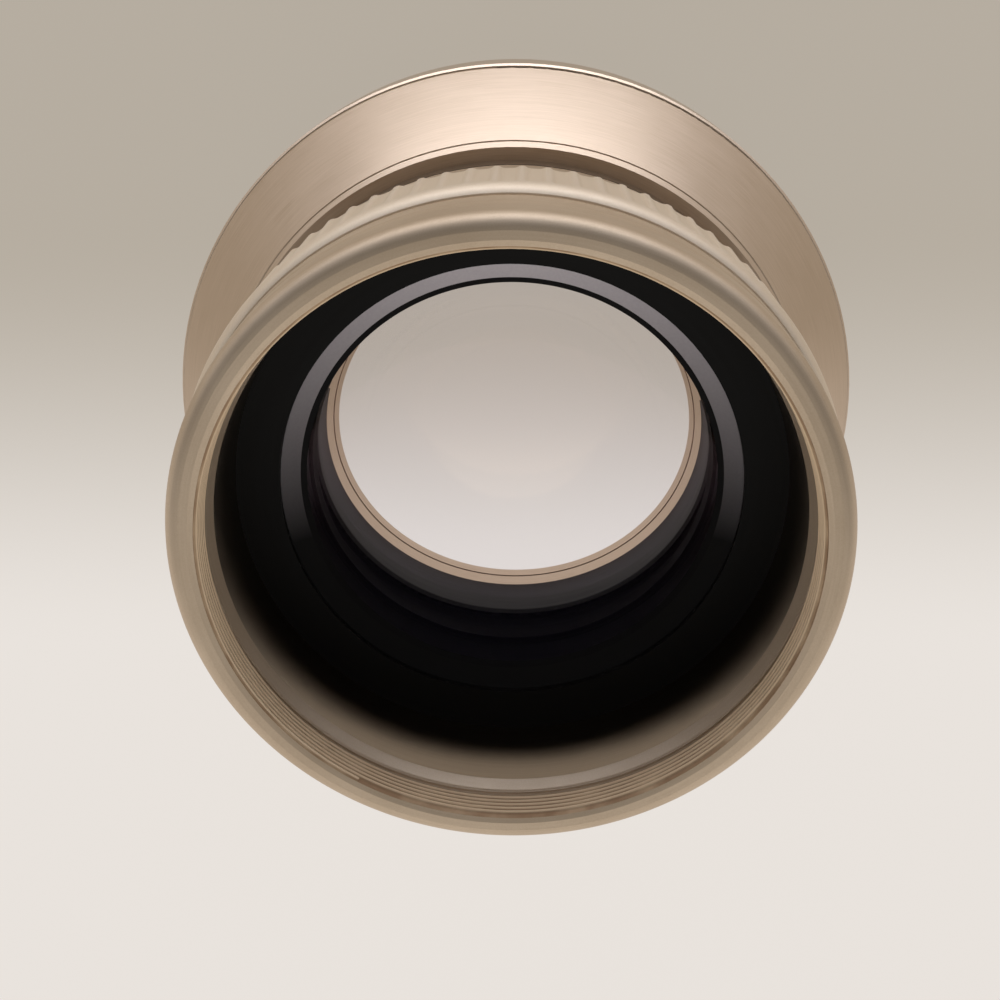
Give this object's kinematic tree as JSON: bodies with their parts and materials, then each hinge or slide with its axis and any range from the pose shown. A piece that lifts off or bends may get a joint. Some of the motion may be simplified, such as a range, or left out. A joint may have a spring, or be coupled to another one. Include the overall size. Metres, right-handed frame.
{
  "type": "wide angle converter lens",
  "caption": "Wide angle converter lens: threaded rear ring, fluted grip, flared front flange and two glasses in an aluminium housing, standing on its front rim.",
  "frame": {"origin": "centre of the front rim's face, on the optical axis; the lens stands on this face", "axes": "+Z along the optical axis from the front (scene) end to the rear (camera) end; +Y towards the top of the lens in the picture"},
  "size_m": [0.1074, 0.1074, 0.063],
  "materials": {
    "champagne_anodised": "satin champagne anodised",
    "champagne_brushed": "brushed champagne anodised",
    "black_anodised": "matte black anodised",
    "black_rubber": "matte",
    "black_plastic": "matte",
    "coated_glass": "polished, with a lilac coating",
    "screw_steel": "dark"
  },
  "bodies": {
    "root": {"rear_mount_ring": "champagne_anodised", "grip_ring": "champagne_anodised", "main_barrel": "champagne_anodised", "front_flange": "champagne_brushed", "front_rim": "champagne_brushed", "front_retaining_ring": "black_anodised", "front_element_gasket": "black_rubber", "front_element": "coated_glass", "element_spacer": "black_anodised", "rear_element": "coated_glass", "rear_element_washer": "black_plastic", "rear_retaining_ring": "black_anodised", "neck_screw_1": "screw_steel", "neck_screw_2": "screw_steel", "neck_screw_3": "screw_steel"}
  },
  "joints": []
}
